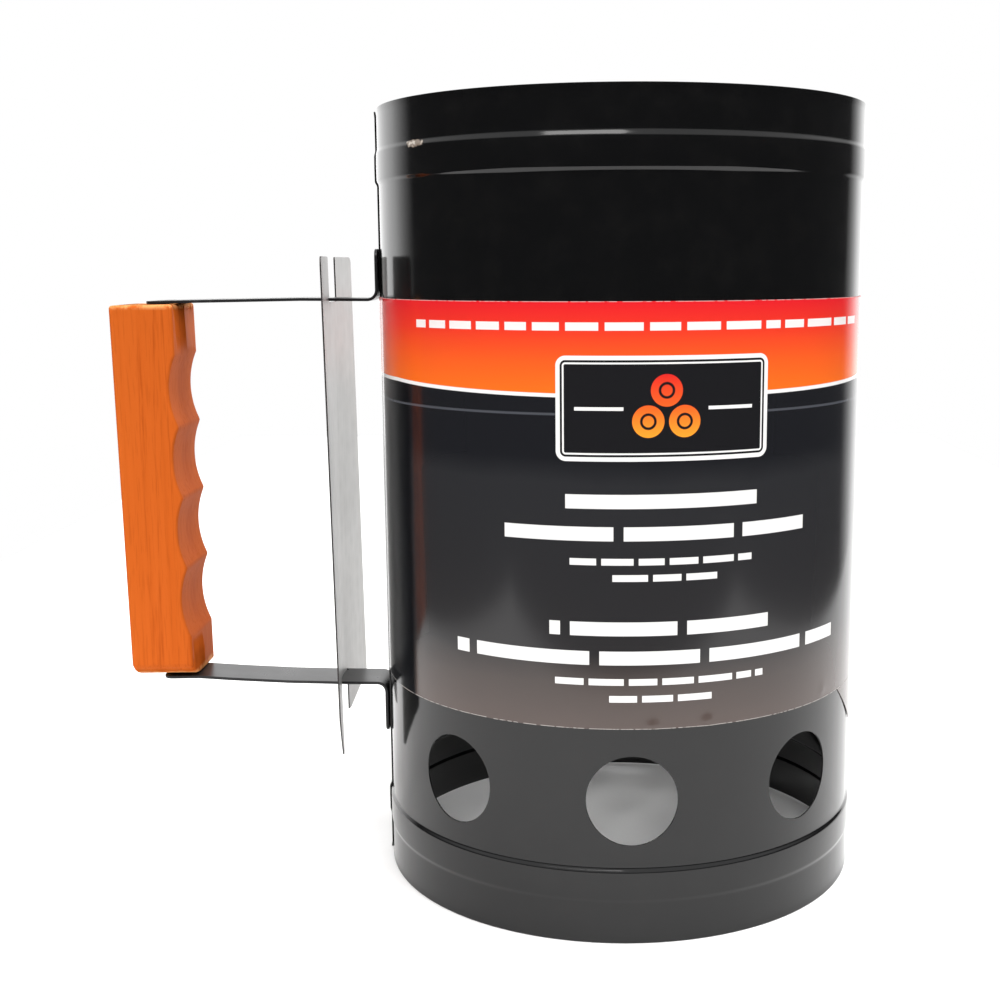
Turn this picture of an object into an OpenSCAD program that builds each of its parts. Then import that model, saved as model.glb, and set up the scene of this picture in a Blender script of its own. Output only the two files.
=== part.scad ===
// Chimney charcoal starter: a rolled sheet-steel tube with vent holes, a grate inside it,
// a wrap-round label, and a wooden handle held by two strap brackets behind a heat shield.
// Frame: the tube's axis is Z and its bottom rim lies on z = 0. The handle points along -X
// and the front of the label faces -Y.
// An angle called "round" is measured from the handle, turning towards the front.

/* [Tube] */
// Outside diameter of the rolled tube
tube_d = 191; // [180:0.5:200]
// Height of the tube
tube_h = 304; // [290:1:320]
// Thickness of the sheet steel
sheet_t = 0.6; // [0.5:0.05:0.7]
// How far the two stiffening beads stand out
bead_out = 0.9; // [0.5:0.1:1.2]
// Height of each bead, slopes included
bead_h = 14; // [12:0.5:16]
// Distance from a rim of the tube to the bead next to it
bead_gap = 15; // [14:0.5:18]
// How much wider the tube is between a bead and the rim
rim_step = 0.4; // [0.2:0.1:0.6]

/* [Vents] */
// Number of round air holes
vent_count = 7; // [5:1:7]
// Diameter of an air hole
vent_d = 33.5; // [28:0.5:36]
// Height of the air holes' centres
vent_z = 54; // [50:1:56]
// Angle from one air hole to the next
vent_pitch = 42.8; // [40:0.1:43]

/* [Seam] */
// Angle round at which the outer lap of the seam ends
lap_outer = 4; // [3:0.5:5]
// Angle round at which the inner lap of the seam ends
lap_inner = -8; // [-10:0.5:-7]
// Angle round at which the outer lap starts to rise off the circle
lap_rise = -70; // [-75:1:-65]

/* [Label] */
// Height of the lower edge of the label
label_z = 81; // [80:0.5:84]
// Height of the label
label_h = 151; // [140:1:152]
// Thickness of the label
label_t = 0.3; // [0.2:0.05:0.3]

/* [Grate] */
// Height of the underside of the grate
grate_z = 90; // [88:1:96]
// Thickness of the grate
grate_t = 1; // [0.8:0.1:1.2]
// Number of turned-down lugs, each with one rivet
lug_count = 8; // [4:1:8]
// Width of a lug
lug_w = 12; // [10:1:16]
// Depth of a lug below the grate
lug_h = 12; // [10:1:12]

/* [Brackets] */
// Width of the strap
strap_w = 20; // [19:0.5:24]
// Thickness of the strap
strap_t = 1.2; // [1:0.1:1.5]
// Inside radius of the bend between flange and strap
bend_r = 3.2; // [2:0.1:4]
// Distance from the tube's axis to the end of a strap
strap_reach = 190; // [188:0.5:192]
// Height of the upper strap's top face at the bend
upper_z = 231.8; // [231.8:0.1:233]
// Height of the lower strap's top face at the bend
lower_z = 73.4; // [73:0.1:75]
// Height of the upper flange's end
upper_flange_end = 251; // [249:0.5:255]
// Height of the lower flange's end
lower_flange_end = 52; // [48:0.5:53]
// Width of the notch for the heat shield in each edge of a strap
notch_w = 3; // [2.6:0.1:3.4]

/* [Heat shield] */
// Width of the heat shield
shield_w = 74; // [68:1:78]
// Thickness of the heat shield
shield_t = 0.6; // [0.5:0.1:0.8]
// Height of the heat shield's upper end
shield_top = 248; // [245:1:251]
// How far the middle of the heat shield bows away from the tube
shield_bow = 2.5; // [1.5:0.5:4]
// Distance from the tube's axis to the middle of the heat shield at the upper strap
shield_reach = 116.7; // [114:0.1:119]

/* [Handle] */
// Height of the wooden handle
handle_h = 153.2; // [152.8:0.1:153.2]
// Depth of the handle, across the strap
handle_w = 35; // [30:1:40]
// Thickness of the handle, along the strap
handle_t = 25; // [23:0.5:27]
// Number of finger scallops on the side that faces the tube
scallop_count = 4; // [3:1:4]
// Depth of a finger scallop
scallop_depth = 3.1; // [2:0.1:4]
// Distance between the scallops
scallop_pitch = 28.8; // [26:0.1:29]
// Lean of the handle and the heat shield, lower end towards the tube
lean = 0.7; // [0.5:0.1:0.9]

/* [Fasteners] */
// Diameter of a bracket rivet's shank
rivet_d = 4.8; // [4:0.1:5]
// Diameter of a seam or grate rivet's shank
small_rivet_d = 3.2; // [2.8:0.1:3.6]
// Diameter of a handle screw's shank
screw_d = 4.2; // [3.5:0.1:4.5]
// Length of a handle screw below its head
screw_len = 26; // [20:1:30]
// Diameter of a handle screw's countersunk head
screw_head_d = 8; // [7.6:0.1:8.4]

/* [Hidden] */
$fn = 96;

// Tube
wall_r = tube_d / 2;
bore_r = wall_r - sheet_t;
bead_slope = 2.2;
low_bead = [bead_gap, bead_gap + bead_h];
high_bead = [tube_h - bead_gap - bead_h, tube_h - bead_gap];
cut_reach = 40;

// The outer lap is an arc of a slightly larger circle that leaves the tube's circle smoothly.
// It is rolled a hair thinner than the tube, so that its root lies inside the tube's wall.
lap_gap = 0.03;
lap_skin = 0.05;
lap_root = 1;
lap_grow = (sheet_t + lap_gap) / (1 - cos(lap_inner - lap_rise));
function lap_lift(round) = lap_grow * (1 - cos(round - lap_rise));

// The middle of the air holes faces away from the seam.
vent_middle = 176.6;

// Label
label_skin = 0.05;
label_bridge = 6;
label_steps = 144;

// Seam and grate rivets
seam_round = -2;
upper_seam_z = tube_h - bead_gap / 2;
lower_seam_z = bead_gap * 0.7;
head_h = 0.7;
seam_tail_h = 0.4;
small_head_r = 2.7;
grate_clear = 0.4;
lug_clear = 0.1;
lug_t = 1;
lug_first = 94;
grate_rivet_z = grate_z - 6;
grate_rings = [[1, 0, 20], [6, 28, 18], [12, 55, 17], [18, 80, 14]];

// Brackets, as distances from the tube's axis
flange_in = wall_r + 0.9;
flange_out = flange_in + strap_t;
bend_s = flange_out + bend_r;
strap_drop = 1;
kink_s = 116;
kink_rise = 0.2;
seat_s = 175;
seat_rise = 2.9;
end_corner_r = 4;
flange_corner_r = 3;
upper_rivet_z = 241.5;
lower_rivet_z = 64.5;
bracket_head_r = 3.2;

// Heat shield
shield_turn_z = upper_z - strap_t / 2;
shield_curve_r = pow(shield_w / 2, 2) / (2 * shield_bow) + shield_bow / 2;
slot_half = strap_w / 2 - notch_w / 2 + 0.3;
slot_top_z = upper_z - strap_t - 0.6;
slot_low_z = lower_z + 0.7;
front_tip = [-10.5, 45];
rear_tip = [12, 54];
shoulder_z = 65;
stop_hole_d = 3;
stop_hole_y = 5;
stop_hole_z = 90;
shield_corner_r = 3;
function shield_s(z) = shield_reach + (z - shield_turn_z) * tan(lean);

// Handle
seat_gap = 0.1;
handle_s = seat_s + 0.2;
handle_z = lower_z + seat_rise + seat_gap;
scallop_r = (pow(scallop_pitch / 2, 2) + pow(scallop_depth, 2)) / (2 * scallop_depth);
scallop_mid_z = 75.5;
edge_r = 2;
low_end_r = 5;
high_end_r = 2.5;
screw_s = 8.5;
screw_head_h = 2.2;
screw_tip_h = 4;
fit_gap = 0.1;

function reverse(list) = [for (i = [len(list) - 1:-1:0]) list[i]];
function arc(centre, r, from, to, steps = 10) = [for (i = [0:steps])
    let (a = from + (to - from) * i / steps) centre + r * [cos(a), sin(a)]];
function wall_line(r) = [
    [r + rim_step, 0], [r + rim_step, low_bead[0]],
    [r + bead_out, low_bead[0] + bead_slope], [r + bead_out, low_bead[1] - bead_slope],
    [r, low_bead[1]], [r, high_bead[0]],
    [r + bead_out, high_bead[0] + bead_slope], [r + bead_out, high_bead[1] - bead_slope],
    [r + rim_step, high_bead[1]], [r + rim_step, tube_h]];

// Turns its children to an angle round the tube, counted from the handle
module at_round(round) {
    rotate([0, 0, 180 + round]) children();
}

// Shifts its children to the centre of the lap's larger circle
module at_lap_centre() {
    translate(lap_grow * [cos(lap_rise), sin(lap_rise), 0]) children();
}

// Wall of the tube with both beads, t thick, from one angle to another
module rolled_wall(r, t, from, to) {
    rotate([0, 0, from])
        rotate_extrude(angle = to - from, $fn = 180)
            polygon(concat(wall_line(r), reverse(wall_line(r + t))));
}

// A wedge of the plan, as a flat shape
module sector(from, to) {
    steps = 8;
    far = tube_d;
    polygon(concat([[0, 0]], [for (i = [0:steps])
        let (a = from + (to - from) * i / steps) far * [cos(a), sin(a)]]));
}

module ring(inner_r, outer_r) {
    difference() {
        circle(r = outer_r, $fn = 180);
        circle(r = inner_r, $fn = 180);
    }
}

// Rivet along X: the head's flat side is at x = grip and the tail's at x = 0
module rivet(shank_d, grip, head_r, tail_r, tail_h) {
    rotate([0, 90, 0])
        rotate_extrude($fn = 48)
            polygon([[0, -tail_h], [tail_r * 0.7, -tail_h], [tail_r, -tail_h * 0.4], [tail_r, 0],
                [shank_d / 2, 0], [shank_d / 2, grip], [head_r, grip], [head_r, grip + head_h * 0.3],
                [head_r * 0.6, grip + head_h], [0, grip + head_h]]);
}

// Hole along X for a rivet's shank, open on both sides of the sheet
module shank_hole(d, x) {
    translate([x - cut_reach / 2, 0, 0]) rotate([0, 90, 0]) cylinder(d = d, h = cut_reach, $fn = 48);
}

module all_rivet_holes() {
    at_round(0) {
        translate([0, 0, upper_rivet_z]) shank_hole(rivet_d, wall_r);
        translate([0, 0, lower_rivet_z]) shank_hole(rivet_d, wall_r);
    }
    at_round(seam_round) {
        translate([0, 0, upper_seam_z]) shank_hole(small_rivet_d, wall_r);
        translate([0, 0, lower_seam_z]) shank_hole(small_rivet_d, wall_r);
    }
    for (i = [0:lug_count - 1])
        at_round(lug_first + i * 360 / lug_count)
            translate([0, 0, grate_rivet_z]) shank_hole(small_rivet_d, wall_r);
}

module vent_holes() {
    for (i = [0:vent_count - 1])
        at_round(vent_middle + (i - (vent_count - 1) / 2) * vent_pitch)
            translate([wall_r - cut_reach / 2, 0, vent_z])
                rotate([0, 90, 0]) cylinder(d = vent_d, h = cut_reach);
}

module chimney_tube() {
    color("#1d1e20")
        difference() {
            union() {
                rolled_wall(bore_r, sheet_t, 180 + lap_inner, 540 + lap_rise);
                at_lap_centre()
                    rolled_wall(bore_r + lap_grow + lap_skin, sheet_t - 2 * lap_skin,
                        180 + lap_rise - lap_root, 180 + lap_outer);
            }
            vent_holes();
            all_rivet_holes();
        }
}

// Seam rivet through both laps, at a height on the tube
module seam_rivet(z) {
    grip = sheet_t + lap_lift(seam_round);
    color("#26272a")
        at_round(seam_round)
            translate([bore_r + rim_step, 0, z])
                rivet(small_rivet_d, grip, small_head_r, small_head_r, seam_tail_h);
}

module upper_seam_rivet() {
    seam_rivet(upper_seam_z);
}

module lower_seam_rivet() {
    seam_rivet(lower_seam_z);
}

// Radius of the label's inner side: on the tube, raised with the lap, and bridging its edge
function label_r(round) = wall_r + label_skin + (round < lap_rise ? 0
    : round <= lap_outer ? lap_lift(round)
    : round < lap_outer + label_bridge
        ? lap_lift(lap_outer) * (1 - (round - lap_outer) / label_bridge) : 0);

// Closed outline round the tube, grown outwards by a distance
module label_outline(grow) {
    polygon([for (i = [0:label_steps - 1])
        let (round = i * 360 / label_steps - 180)
            (label_r(round) + grow) * [cos(180 + round), sin(180 + round)]]);
}

module label_plan() {
    difference() {
        label_outline(label_t);
        label_outline(0);
    }
}

module label_sleeve() {
    color("#2b2627")
        translate([0, 0, label_z]) linear_extrude(label_h) label_plan();
}

module charcoal_grate() {
    lug_angle = 2 * asin(lug_w / 2 / bore_r);
    color("#8e9092")
        difference() {
            union() {
                translate([0, 0, grate_z])
                    cylinder(r = bore_r - grate_clear, h = grate_t, $fn = 180);
                translate([0, 0, grate_z - lug_h])
                    linear_extrude(lug_h + grate_t / 2)
                        intersection() {
                            ring(bore_r - lug_clear - lug_t, bore_r - lug_clear);
                            for (i = [0:lug_count - 1])
                                at_round(lug_first + i * 360 / lug_count)
                                    sector(-lug_angle / 2, lug_angle / 2);
                        }
            }
            for (r = grate_rings, i = [0:r[0] - 1])
                rotate([0, 0, i * 360 / r[0]])
                    translate([r[1], 0, grate_z - grate_t])
                        cylinder(d = r[2], h = 3 * grate_t, $fn = 48);
            all_rivet_holes();
        }
}

// The shanks end flush with the tube's outside, under the label.
module grate_rivets() {
    tail_x = bore_r - lug_clear - lug_t;
    color("#6f7173")
        for (i = [0:lug_count - 1])
            at_round(lug_first + i * 360 / lug_count)
                translate([tail_x - head_h, 0, grate_rivet_z])
                    rotate([0, 90, 0])
                        union() {
                            cylinder(r = small_head_r, h = head_h, $fn = 48);
                            cylinder(d = small_rivet_d, h = wall_r - tail_x + head_h, $fn = 48);
                        }
}

// Carries a flat shape drawn as (distance from axis, height) into the handle's plane
module in_handle_plane(w) {
    rotate([90, 0, 180]) linear_extrude(w, center = true) children();
}

// Side view of a strap with its flange turned up (side 1) or down (side -1); top is the line
// of the strap's upper face
module strap_profile(top, flange_end, side) {
    under = [for (p = top) [p[0], p[1] - strap_t]];
    near = side > 0 ? top : under;
    far = side > 0 ? under : top;
    bend = [bend_s, near[0][1] + side * bend_r];
    polygon(concat([[flange_in, flange_end], [flange_out, flange_end]],
        arc(bend, bend_r, 180, 180 + side * 90), near,
        reverse(far), arc(bend, bend_r + strap_t, 180 + side * 90, 180)));
}

// Strip from low to high whose two corners at the high (side 1) or low (side -1) end are round
module end_rounded(w, low, high, r, side) {
    tip = side > 0 ? high : low;
    root = side > 0 ? low : high;
    y = w / 2 - r;
    polygon(concat([[-w / 2, root]], arc([-y, tip - side * r], r, 180, 180 - side * 90),
        arc([y, tip - side * r], r, side * 90, 0), [[w / 2, root]]));
}

module bracket(top, flange_end, side, notch_s) {
    low = min(flange_end, top[0][1] - 2 * strap_t);
    high = max(flange_end, top[0][1] + 4 * strap_t);
    color("#202124")
        difference() {
            intersection() {
                in_handle_plane(strap_w) strap_profile(top, flange_end, side);
                rotate([0, 0, 90]) linear_extrude(tube_h)
                    end_rounded(strap_w, flange_in - 1, strap_reach, end_corner_r, 1);
                translate([-bend_s - tube_d, 0, 0])
                    rotate([90, 0, 90]) linear_extrude(2 * tube_d)
                        end_rounded(strap_w, low, high, flange_corner_r, side);
            }
            for (y = [-1, 1])
                translate([-notch_s, y * strap_w / 2, low])
                    cylinder(d = notch_w, h = high - low, $fn = 32);
            all_rivet_holes();
            screw_holes();
        }
}

function upper_top() = [[bend_s, upper_z], [strap_reach, upper_z - strap_drop]];
function lower_top() = [[bend_s, lower_z], [kink_s, lower_z + kink_rise],
    [seat_s, lower_z + seat_rise],
    [strap_reach, lower_z + seat_rise - (strap_reach - seat_s) * tan(lean)]];

module upper_bracket() {
    bracket(upper_top(), upper_flange_end, 1, shield_s(upper_z));
}

module lower_bracket() {
    bracket(lower_top(), lower_flange_end, -1, shield_s(lower_z));
}

module bracket_rivet(z) {
    color("#26272a")
        at_round(0)
            translate([bore_r, 0, z])
                rivet(rivet_d, flange_out - bore_r, bracket_head_r, bracket_head_r, head_h);
}

module upper_bracket_rivet() {
    bracket_rivet(upper_rivet_z);
}

module lower_bracket_rivet() {
    bracket_rivet(lower_rivet_z);
}

// One half of the blank's outline, from the slot at the top to the slot at the bottom
function shield_half(y, tip) = concat([[y * slot_half, slot_top_z], [y * slot_half, shield_top]],
    arc([y * (shield_w / 2 - shield_corner_r), shield_top - shield_corner_r], shield_corner_r,
        90, 90 - y * 90),
    [[y * shield_w / 2, shoulder_z], tip, [y * slot_half, tip[1]], [y * slot_half, slot_low_z]]);

// Flat blank: two tabs at each end, a slot between each pair, and two stop holes
module shield_blank() {
    difference() {
        polygon(concat(shield_half(1, rear_tip), reverse(shield_half(-1, front_tip))));
        for (y = [-1, 1])
            translate([y * stop_hole_y, stop_hole_z]) circle(d = stop_hole_d, $fn = 32);
    }
}

module heat_shield() {
    color("#c9c8c5")
        translate([-shield_reach, 0, shield_turn_z])
            rotate([0, -lean, 0])
                translate([0, 0, -shield_turn_z])
                    intersection() {
                        translate([shield_curve_r, 0, 0])
                            difference() {
                                cylinder(r = shield_curve_r + shield_t / 2, h = tube_h, $fn = 360);
                                translate([0, 0, -1])
                                    cylinder(r = shield_curve_r - shield_t / 2, h = tube_h + 2, $fn = 360);
                            }
                        translate([-cut_reach / 2, 0, 0])
                            rotate([90, 0, 90]) linear_extrude(cut_reach) shield_blank();
                    }
}

// Places its children in the handle's own frame: its inner lower edge is at the origin and
// its thickness runs along -X
module at_handle() {
    translate([-handle_s, 0, handle_z]) rotate([0, -lean, 0]) children();
}

// Rectangle from [x, 0] with one radius for the two low corners and one for the two high ones
module round_rect(x, w, h, low_r, high_r) {
    translate([x, low_r]) square([w, h - low_r - high_r]);
    translate([x + low_r, 0]) square([w - 2 * low_r, h / 2]);
    translate([x + high_r, h / 2]) square([w - 2 * high_r, h / 2]);
    for (u = [low_r, w - low_r])
        translate([x + u, low_r]) circle(r = low_r, $fn = 48);
    for (u = [high_r, w - high_r])
        translate([x + u, h - high_r]) circle(r = high_r, $fn = 48);
}

module countersink(x, gap) {
    cylinder(r1 = screw_d / 2 + gap, r2 = screw_head_d / 2 + gap, h = screw_head_h);
    translate([0, 0, screw_head_h - 0.01]) cylinder(r = screw_head_d / 2 + gap, h = x);
}

// Both screws' places: children point up out of the handle's upper end, down out of its lower end
module at_upper_screw() {
    at_handle() translate([-screw_s, 0, handle_h + seat_gap + strap_t - screw_head_h]) children();
}

module at_lower_screw() {
    at_handle() translate([-screw_s, 0, screw_head_h - strap_t - seat_gap]) mirror([0, 0, 1]) children();
}

module one_screw_hole() {
    translate([0, 0, -screw_len - 1]) cylinder(d = screw_d + 2 * fit_gap, h = screw_len + 2, $fn = 48);
    countersink(strap_t, fit_gap);
}

module screw_holes() {
    at_upper_screw() one_screw_hole();
    at_lower_screw() one_screw_hole();
}

module wooden_handle() {
    color("#d8692c")
        difference() {
            at_handle()
                difference() {
                    intersection() {
                        rotate([0, 0, 180])
                            linear_extrude(handle_h)
                                translate([0, -handle_w / 2])
                                    round_rect(0, handle_t, handle_w, edge_r, edge_r);
                        rotate([90, 0, 90])
                            linear_extrude(2 * handle_t, center = true)
                                round_rect(-handle_w / 2, handle_w, handle_h, low_end_r, high_end_r);
                        rotate([90, 0, 180])
                            linear_extrude(handle_w, center = true)
                                round_rect(0, handle_t, handle_h, low_end_r, high_end_r);
                    }
                    for (i = [0:scallop_count - 1])
                        translate([scallop_r - scallop_depth, 0,
                                scallop_mid_z + (i - (scallop_count - 1) / 2) * scallop_pitch])
                            rotate([90, 0, 0])
                                cylinder(r = scallop_r, h = 2 * handle_w, center = true, $fn = 120);
                }
            screw_holes();
        }
}

module screw() {
    color("#3a3b3e")
        difference() {
            union() {
                cylinder(d1 = screw_d, d2 = screw_head_d, h = screw_head_h, $fn = 48);
                translate([0, 0, screw_tip_h - screw_len])
                    cylinder(d = screw_d, h = screw_len - screw_tip_h, $fn = 48);
                translate([0, 0, -screw_len])
                    cylinder(d1 = 0.4, d2 = screw_d, h = screw_tip_h, $fn = 48);
            }
            for (a = [0, 90])
                rotate([0, 0, a])
                    translate([-screw_head_d * 0.3, -0.5, screw_head_h - 1])
                        cube([screw_head_d * 0.6, 1, 2]);
        }
}

module upper_handle_screw() {
    at_upper_screw() screw();
}

module lower_handle_screw() {
    at_lower_screw() screw();
}

chimney_tube();
upper_seam_rivet();
lower_seam_rivet();
label_sleeve();
charcoal_grate();
grate_rivets();
upper_bracket();
lower_bracket();
upper_bracket_rivet();
lower_bracket_rivet();
heat_shield();
wooden_handle();
upper_handle_screw();
lower_handle_screw();
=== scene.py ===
"""Looks of the chimney charcoal starter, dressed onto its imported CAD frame.

Sizes in the classes are millimetres; a piece turns to metres when it leaves the bench.
The tube's axis is Z, the handle points along -X and the front of the label faces -Y.
An angle called "round" is in degrees, counted from the handle and turning to the front.
"""

from __future__ import annotations

import logging
import math
from collections.abc import Callable, Iterable, Mapping, Sequence
from dataclasses import dataclass, field
from enum import Enum
from typing import Any, ClassVar

import bmesh
import bpy
from mathutils import Euler, Matrix, Vector


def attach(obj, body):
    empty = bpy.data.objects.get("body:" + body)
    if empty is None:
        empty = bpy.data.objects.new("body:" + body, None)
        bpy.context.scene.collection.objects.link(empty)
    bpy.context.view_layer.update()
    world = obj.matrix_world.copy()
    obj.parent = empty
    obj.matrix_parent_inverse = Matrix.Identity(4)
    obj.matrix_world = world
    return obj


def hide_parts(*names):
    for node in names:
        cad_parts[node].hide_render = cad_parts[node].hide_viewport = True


LOG = logging.getLogger("charcoal_starter")
BODY = "root"
MM = 0.001

Pair = tuple[float, float]
Triple = tuple[float, float, float]
Mesh = bmesh.types.BMesh
Edge = bmesh.types.BMEdge
Vert = bmesh.types.BMVert
Face = bmesh.types.BMFace
Socket = bpy.types.NodeSocket

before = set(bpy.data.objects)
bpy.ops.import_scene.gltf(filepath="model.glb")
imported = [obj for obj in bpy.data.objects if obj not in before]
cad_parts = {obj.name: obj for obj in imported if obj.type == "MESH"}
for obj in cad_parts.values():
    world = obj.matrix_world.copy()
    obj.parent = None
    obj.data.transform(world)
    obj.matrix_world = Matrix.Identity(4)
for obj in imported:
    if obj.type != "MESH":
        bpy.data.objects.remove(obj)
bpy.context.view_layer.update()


class Slot(Enum):
    """The record's material slots."""

    ENAMEL = "black_enamel"
    LABEL = "printed_label"
    STEEL = "plain_steel"
    STRAP = "strap_black"
    ZINC = "zinc_sheet"
    WOOD = "stained_wood"
    SCREW = "dark_screw"


class Turn(Enum):
    """Which way a strap's flange is turned."""

    UP = 1
    DOWN = -1


# ---------------------------------------------------------------- shader maths


class Shade:
    """A number that changes over a surface, used in plain Python expressions."""

    def __init__(self, graph: NodeGraph, socket: Socket) -> None:
        """Wraps one output socket.

        Args:
            graph: The node tree that the socket is in.
            socket: The output that gives the number.
        """
        self.graph = graph
        self.socket = socket

    def _math(self, operation: str, *values: Any) -> Shade:
        """Adds one Math node.

        Args:
            operation: The node's operation.
            *values: Its inputs in order, numbers or Shade.

        Returns:
            The node's result.
        """
        made = self.graph.node(
            "ShaderNodeMath", {"operation": operation}, dict(enumerate(values))
        )
        return Shade(self.graph, made.outputs[0])

    def __add__(self, other: Shade | float) -> Shade:
        """Sum."""
        return self._math("ADD", self, other)

    def __radd__(self, other: float) -> Shade:
        """Sum with a number on the left."""
        return self._math("ADD", other, self)

    def __sub__(self, other: Shade | float) -> Shade:
        """Difference."""
        return self._math("SUBTRACT", self, other)

    def __rsub__(self, other: float) -> Shade:
        """Difference from a number."""
        return self._math("SUBTRACT", other, self)

    def __mul__(self, other: Shade | float) -> Shade:
        """Product."""
        return self._math("MULTIPLY", self, other)

    def __truediv__(self, other: Shade | float) -> Shade:
        """Quotient."""
        return self._math("DIVIDE", self, other)

    def __pow__(self, other: Shade | float) -> Shade:
        """Power."""
        return self._math("POWER", self, other)

    def __abs__(self) -> Shade:
        """Size without sign."""
        return self._math("ABSOLUTE", self)

    def at_least(self, other: Shade | float) -> Shade:
        """The larger of the two."""
        return self._math("MAXIMUM", self, other)

    def at_most(self, other: Shade | float) -> Shade:
        """The smaller of the two."""
        return self._math("MINIMUM", self, other)

    def root(self) -> Shade:
        """Square root."""
        return self._math("SQRT", self)

    def above(self, edge: Shade | float, soft: float) -> Shade:
        """A mask of where this is over an edge.

        Args:
            edge: The value at the middle of the change.
            soft: How much of the value the change takes.

        Returns:
            0 below, 1 above, with a straight ramp between.
        """
        ramp = (self - edge) / soft + 0.5
        return ramp.at_least(0.0).at_most(1.0)

    def between(self, low: float, high: float, soft: float) -> Shade:
        """A mask of where this lies between two values, with soft edges."""
        return self.above(low, soft) * (1.0 - self.above(high, soft))


class NodeGraph:
    """The node tree of one material or of the room's own light."""

    def __init__(self, name: str, kind: Any = None) -> None:
        """Starts an empty node tree.

        Args:
            name: The name of the material or world that it belongs to.
            kind: The collection that one is kept in, the materials if not told.
        """
        self.owner = (bpy.data.materials if kind is None else kind).new(name)
        self.owner.use_nodes = True
        self.tree = self.owner.node_tree
        self.tree.nodes.clear()

    def node(
        self,
        kind: str,
        settings: Mapping[str, Any] | None = None,
        sockets: Mapping[int | str, Any] | None = None,
    ) -> bpy.types.Node:
        """Makes one node.

        Args:
            kind: Blender's type name of the node.
            settings: Its properties, and "stops" for a ramp's positions and colours.
            sockets: Values or links for its inputs, by number or name.

        Returns:
            The node.
        """
        made = self.tree.nodes.new(kind)
        for name, value in (settings or {}).items():
            if name == "stops":
                self._set_stops(made.color_ramp, value)
            else:
                setattr(made, name, value)
        for key, value in (sockets or {}).items():
            source = value.socket if isinstance(value, Shade) else value
            if isinstance(source, Socket):
                self.tree.links.new(source, made.inputs[key])
            else:
                made.inputs[key].default_value = source
        return made

    @staticmethod
    def _set_stops(ramp: bpy.types.ColorRamp, stops: Sequence[tuple]) -> None:
        """Gives a colour ramp its stops.

        Args:
            ramp: The ramp.
            stops: (position, red, green, blue) for each stop, in order.
        """
        while len(ramp.elements) < len(stops):
            ramp.elements.new(1.0)
        for element, (position, *colour) in zip(ramp.elements, stops):
            element.position = position
            element.color = (*colour, 1.0)

    def place(self) -> Socket:
        """The point on the piece, in metres in the shared frame."""
        return self.node("ShaderNodeTexCoord").outputs["Object"]

    def print_place(self) -> Socket:
        """The point on the piece's own flat pattern."""
        return self.node("ShaderNodeTexCoord").outputs["UV"]

    def parts(self, vector: Socket) -> tuple[Shade, Shade, Shade]:
        """The three numbers of a vector."""
        made = self.node("ShaderNodeSeparateXYZ", None, {0: vector})
        return tuple(Shade(self, out) for out in made.outputs)

    def noise(
        self,
        vector: Socket,
        scale: float | Triple,
        detail: float,
        rough: float,
        distortion: float = 0.0,
    ) -> Shade:
        """Soft random mottling from 0 to 1.

        Args:
            vector: Where it is read.
            scale: Blotches per unit of the vector, or of each of its axes.
            detail: How many finer layers it has.
            rough: How strong the finer layers are.
            distortion: How far it is pulled about.

        Returns:
            The mottling.
        """
        if isinstance(scale, tuple):
            sockets = {0: vector, 1: scale}
            made = self.node("ShaderNodeVectorMath", {"operation": "MULTIPLY"}, sockets)
            vector, scale = made.outputs[0], 1.0
        made = self.node(
            "ShaderNodeTexNoise",
            None,
            {
                "Vector": vector,
                "Scale": scale,
                "Detail": detail,
                "Roughness": rough,
                "Distortion": distortion,
            },
        )
        return Shade(self, made.outputs[0])

    def spread(self, name: str) -> Shade:
        """A number kept on the piece's faces."""
        made = self.node("ShaderNodeAttribute", {"attribute_name": name})
        return Shade(self, made.outputs["Fac"])

    def ramp(self, amount: Shade, stops: Sequence[tuple]) -> Socket:
        """A colour read off a ramp."""
        return self.node("ShaderNodeValToRGB", {"stops": stops}, {0: amount}).outputs[0]

    def blend(self, amount: Shade | float, under: Any, over: Any) -> Any:
        """One colour laid over another.

        Args:
            amount: 0 shows the lower colour and 1 the upper one.
            under: The lower colour, red, green and blue or a link.
            over: The upper colour.

        Returns:
            The mixed colour's socket.
        """
        values = [(*c, 1.0) if isinstance(c, tuple) else c for c in (under, over)]
        made = self.node(
            "ShaderNodeMix",
            {"data_type": "RGBA"},
            {0: amount, 6: values[0], 7: values[1]},
        )
        return made.outputs[2]

    def relief(
        self, height: Shade, depth_mm: float, strength: float = 1.0, under: Any = None
    ) -> Socket:
        """A bumped normal.

        Args:
            height: The relief, from 0 to 1.
            depth_mm: How deep the whole of it is.
            strength: How much of it shows.
            under: A coarser relief that this one lies on.

        Returns:
            The normal's socket.
        """
        sockets = {"Strength": strength, "Distance": depth_mm * MM, "Height": height}
        if under is not None:
            sockets["Normal"] = under
        return self.node("ShaderNodeBump", None, sockets).outputs[0]

    def surface(self, **sockets: Any) -> bpy.types.Material:
        """Closes the tree with one Principled shader.

        Args:
            **sockets: The shader's inputs, with _ for a space in a name.

        Returns:
            The finished material.
        """
        named = {name.replace("_", " "): value for name, value in sockets.items()}
        shader = self.node("ShaderNodeBsdfPrincipled", None, named)
        self.node("ShaderNodeOutputMaterial", None, {0: shader.outputs[0]})
        return self.owner


# ------------------------------------------------------------------- finishes


@dataclass(frozen=True)
class Finish:
    """A surface finish that pieces are dressed in."""

    name: str

    def make(self) -> bpy.types.Material:
        """The finish's material, made once."""
        made = bpy.data.materials.get(self.name)
        if made is None:
            graph = NodeGraph(self.name)
            made = self.mix(graph, graph.place())
        return made

    def mix(self, graph: NodeGraph, place: Socket) -> bpy.types.Material:
        """Builds the material.

        Args:
            graph: Its empty node tree.
            place: The point on the piece, in metres in the shared frame.

        Returns:
            The material.
        """
        raise NotImplementedError


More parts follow.
